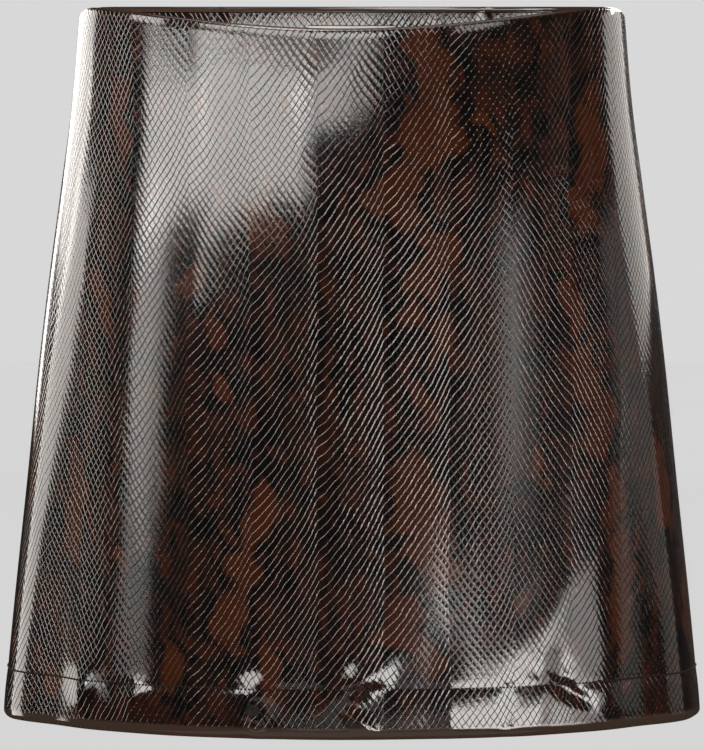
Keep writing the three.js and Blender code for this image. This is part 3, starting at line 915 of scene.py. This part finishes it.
def studio():
    """A pale room: the background shows pale, and the leather reflects a darker one."""
    world = bpy.data.worlds.new("studio")
    bpy.context.scene.world = world
    world.use_nodes = True
    tree = world.node_tree
    tree.nodes.clear()
    ray = add(tree, "ShaderNodeLightPath").outputs
    mirrored = mix(tree, ray["Is Glossy Ray"], PALE_GREY, DARK_GREY)
    seen = mix(tree, ray["Is Camera Ray"], mirrored, linear("#d8d8d8"))
    back = add(tree, "ShaderNodeBackground", {"Color": seen, "Strength": 1.0})
    add(tree, "ShaderNodeOutputWorld", {"Surface": back.outputs[0]})
    bpy.context.scene.view_settings.view_transform = "Standard"


def studio_floor():
    mesh = bpy.data.meshes.new("studio_floor")
    sides = ((-1, -1), (1, -1), (1, 1), (-1, 1))
    corners = [(x * FLOOR_HALF, y * FLOOR_HALF, FLOOR_LEVEL) for x, y in sides]
    mesh.from_pydata(corners, [], [(0, 1, 2, 3)])
    ground = link("studio_floor", mesh)
    material, tree, shader = new_material("painted_plaster_floor")
    tone = noise(tree, on_object(tree), scale=0.6, detail=2.0)
    connect(tree, shader, {
        "Base Color": mix(tree, tone, linear("#d4d4d4"), linear("#dadada")),
        "Roughness": 1.0,
        "Specular IOR Level": 0.0,
    })
    mesh.materials.append(material)
    ground.visible_glossy = False


def overhead():
    """Soft light from above, which gives the diffuse colour its shading."""
    data = bpy.data.lights.new("overhead", "SUN")
    data.energy = 0.9
    data.angle = math.radians(60)
    link("overhead", data)


camera()
studio()
studio_floor()
overhead()
softboxes()

LEATHER = coated_leather()
BACKING = knitted_backing()
RIBBON = woven_cloth("satin_ribbon_woven", "#d9d4ca", "#f4f1ea", thread=0.35, roughness=0.45, sheen=0.3)
TAPE = woven_cloth("zip_tape_woven", "#120e0c", "#2c231e", thread=0.5, roughness=0.85, sheen=0.2)
THREAD = spun_thread()
ENAMEL = enamelled_zinc()
NYLON = moulded_nylon()


def seam_trim(share, level):
    """How far a panel's edge stays back from the seam line."""
    opened = np.minimum(
        smooth(np.clip((level - SEAM_MOUTH["from"] + SEAM_MOUTH["ease"]) / SEAM_MOUTH["ease"], 0, 1)),
        smooth(np.clip((SEAM_MOUTH["to"] + SEAM_MOUTH["ease"] - level) / SEAM_MOUTH["ease"], 0, 1)),
    )
    return GAP / 2 + np.where(share > 0, (SEAM_MOUTH["trim"] - GAP / 2) * opened, 0)


def column_round(half, share, level, trim):
    if half == "front":
        return share * (seam_at(1, level) - trim)
    return from_back(share * (half_length("back", level) - SEAM_BACK - trim), level)


def panel_shares(half):
    """Column places from -1 to 1, closer together by the seams."""
    reach = PANEL_REACH[half]
    even = np.linspace(-1, 1, COLUMNS + 1)
    edge = 1 - SEAM_COLUMNS / reach
    even = even[np.abs(even) < edge.min() - 0.5 / reach]
    return np.sort(np.concatenate([even, edge, -edge]))


def panel(half, name):
    share = panel_shares(half)
    zero = np.zeros_like(share)
    top = edge_dip(column_round(half, share, zero, zero))
    outer, inner = panel_line(top, share, 0.0), panel_line(top, share, WALL)

    def round_of(level):
        column = share[:, None] + 0 * level
        flat = column_round(half, column.ravel(), level.ravel(), seam_trim(column, level).ravel())
        return flat.reshape(level.shape)

    return sweep(name, outer, inner, round_of, [LEATHER, BACKING], 1 + ROLL_STEPS,
                 lambda r, level: relief(r, level, half == "front"), is_back=half == "back")


FACING_DART = 0.6  # the darts press the facing behind them in by this share


def facing(half, name, cut):
    """The facing lies inside the panel on the panel's own line, leather side to the inside."""
    share = panel_shares(half)[::2]
    clear = np.where(share < 0, GAP / 2, FACING_CLEAR)
    zero = np.zeros_like(share)
    top = edge_dip(column_round(half, share, zero, clear)) + WAIST_ROLL + WAIST_TURN + FACING_DROP
    depth = 2 * WAIST_ROLL - WALL
    outer, inner = (strip_line(-d, top, top + FACING_DEPTH, STRIP_ROWS, len(share))
                    for d in (depth, depth + WALL))

    def round_of(level):
        column = share[:, None] + 0 * level
        stay = clear[:, None] + 0 * level
        return column_round(half, column.ravel(), level.ravel(), stay.ravel()).reshape(level.shape)

    def darts(round_, level):
        return FACING_DART * dart_out(behind(round_, level), level)

    is_back = half == "back"
    return sweep(name, outer, inner, round_of, [LEATHER, BACKING], 0,
                 darts if is_back else None, leather_inside=True, cut=cut, is_back=is_back)


def seam_strip(name, start, end, columns, sink, wall, top, bottom, rows, material):
    """A strip that follows the seam at +X between two distances from it, behind being positive."""
    beside = np.linspace(start, end, columns + 1)[:, None]
    outer = strip_line(-sink, top, bottom, rows, columns + 1)
    inner = strip_line(-sink - wall, top, bottom, rows, columns + 1)
    return sweep(name, outer, inner, lambda level: seam_at(1, level) + beside, [material, material], 0)


def label(name):
    share = np.linspace(-1, 1, LABEL_COLUMNS + 1)
    sink = 2 * WAIST_ROLL + GAP
    outer, inner = (strip_line(-s, LABEL["top"], LABEL["bottom"], STRIP_ROWS, len(share))
                    for s in (sink, sink + LABEL["wall"]))

    def round_of(level):
        return from_back(LABEL["half_width"] * share[:, None] + 0 * level, level)

    return sweep(name, outer, inner, round_of, [RIBBON, RIBBON], 0)


# Where on the skin the facings were cut, which gives them other blotches than their panels.
FACING_CUT = {"front": 70.0, "back": 30.0}


front = panel("front", "front_leather")
back = panel("back", "back_leather")
front_inside = facing("front", "front_facing_leather", FACING_CUT["front"])
back_inside = facing("back", "back_facing_leather", FACING_CUT["back"])
ribbon = label("waist_label_ribbon")
tapes = {}
for end_name, direction in (("front", -1), ("back", 1)):
    first = ZIP["coil_half"] + GAP
    tapes[end_name] = seam_strip(
        f"zip_tape_{end_name}_woven", direction * first, direction * (first + ZIP["tape_width"]),
        TAPE_COLUMNS, ZIP["tape_sink"], ZIP["tape_wall"], ZIP["top"], ZIP["tape_end"], TAPE_ROWS, TAPE)


def model_bar(vertices, radius, length, tips):
    """A bar along X, modelled from a cylinder. Both ends are drawn out in steps, each given as how far
    on, how far down and by how much it narrows."""
    bpy.ops.object.select_all(action="DESELECT")
    bpy.ops.mesh.primitive_cylinder_add(
        vertices=vertices, radius=radius, depth=length, rotation=(0, math.pi / 2, 0))
    bpy.ops.object.transform_apply(location=False, rotation=True, scale=False)
    bar = bpy.context.object
    for side in (1, -1):
        bpy.ops.object.mode_set(mode="EDIT")
        bpy.ops.mesh.select_mode(type="FACE")
        bpy.ops.mesh.select_all(action="DESELECT")
        bpy.ops.object.mode_set(mode="OBJECT")
        for face in bar.data.polygons:
            face.select = face.normal.x * side > 0.9
        bpy.ops.object.mode_set(mode="EDIT")
        for on, down, narrow in tips:
            bpy.ops.mesh.extrude_region_move(TRANSFORM_OT_translate={"value": (on * side, 0, -down)})
            bpy.ops.transform.resize(value=(1, narrow, narrow))
        bpy.ops.object.mode_set(mode="OBJECT")
    points = np.array([v.co[:] for v in bar.data.vertices])
    faces = [tuple(f.vertices) for f in bar.data.polygons]
    bpy.data.objects.remove(bar)
    return points, faces


def place_copies(name, shape, seats, material):
    """Joins copies of a shape, each seat being a point and the directions of its X, Y and Z."""
    points, faces = shape
    count = len(points)
    all_points = [seat + points @ axes for seat, axes in seats]
    all_faces = [tuple(v + i * count for v in face) for i in range(len(seats)) for face in faces]
    mesh = bpy.data.meshes.new(name)
    mesh.from_pydata((np.concatenate(all_points) * MM).tolist(), [], all_faces)
    mesh.materials.append(material)
    piece = link(name, mesh)
    finish_shading(piece, COPY_SHARP)
    return piece


# A stitch is a thread that dips into its holes at both ends.
STITCH = {"vertices": 8, "radius": 0.5, "length": 0.6, "tips": ((0.25, 0.1, 0.85), (0.12, 0.35, 0.6))}
STITCH_PITCH = 2.1
STITCH_STAND = 0.18  # how far a stitch's middle line stands out of the leather
STITCH_END = 1.5  # the row stops this far from the seam


def hem_seats(half):
    """Seats of the hem's stitches on one panel, from seam to seam."""
    level = float(LENGTH - HEM_STITCH)
    reach = {"front": seam_at(1, level), "back": half_length("back", level) - SEAM_BACK}
    limit = reach[half] - STITCH_END
    steps = int(2 * limit / STITCH_PITCH)
    beside = np.linspace(-limit, limit, steps)
    below = np.full_like(beside, level)
    round_ = beside if half == "front" else from_back(beside, below)
    round_ahead = beside + 0.5 if half == "front" else from_back(beside - 0.5, below)
    lift = relief(round_, below, half == "front") + STITCH_STAND
    seat = place(round_, below, lift)
    ahead = place(round_ahead, below, lift)
    up = place(round_, below - 1, relief(round_, below - 1, half == "front") + STITCH_STAND)
    return seats_at(seat, ahead, up)


def seat_axes(along, up):
    """Rows: along the seam, up the cloth, out of it."""
    x = along / np.linalg.norm(along)
    z = np.cross(x, up)
    z /= np.linalg.norm(z)
    y = np.cross(z, x)
    return np.stack([x, y, z])


def seats_at(places, ahead, up):
    """Each place with its directions, from the points ahead of it and above it."""
    return [(p, seat_axes(a - p, u - p)) for p, a, u in zip(places, ahead, up)]


stitch = model_bar(**STITCH)
hem_thread = {half: place_copies(f"hem_stitching_{half}", stitch, hem_seats(half), THREAD)
              for half in ("front", "back")}


# A tooth of the coil lies across the zip, a bar with rounded ends.
TOOTH = {"vertices": 10, "radius": 0.42, "length": 2.0, "tips": ((0.22, 0.1, 0.85), (0.12, 0.2, 0.6))}
TOOTH_PITCH = 1.1
TOOTH_SINK = 0.55  # how far a tooth's middle line lies below the coil's face
TOOTH_START, TOOTH_END = 0.6, 0.5  # how far the first and last stay inside the coil's ends


def coil_seats():
    level = np.arange(ZIP["coil_top"] + TOOTH_START, ZIP["coil_end"] - TOOTH_END, TOOTH_PITCH)
    round_ = seam_at(1, level)
    out = np.full_like(level, -(ZIP["coil_sink"] + TOOTH_SINK))
    seat = place(round_, level, out)
    ahead = place(round_ + 0.5, level, out)
    up = place(seam_at(1, level - 1), level - 1, out)
    return seats_at(seat, ahead, up)


teeth = place_copies("zip_coil_teeth", model_bar(**TOOTH), coil_seats(), NYLON)

for node in ("zip_slider", "zip_pull_tab", "zip_bottom_stop"):
    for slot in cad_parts[node].material_slots:
        slot.material = ENAMEL

PIECES = [
    (front, "front_panel", "coated_leather"),
    (back, "back_panel", "coated_leather"),
    (front_inside, "front_facing", "coated_leather"),
    (back_inside, "back_facing", "coated_leather"),
    (ribbon, "waist_label", "label_satin"),
    (tapes["front"], "zip_tape_front", "zip_tape"),
    (tapes["back"], "zip_tape_back", "zip_tape"),
    (teeth, "zip_coil", "zip_nylon"),
    (hem_thread["front"], None, "zip_tape"),
    (hem_thread["back"], None, "zip_tape"),
]
for piece, node, slot_name in PIECES:
    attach(piece, "skirt")
    if node:
        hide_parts(node)
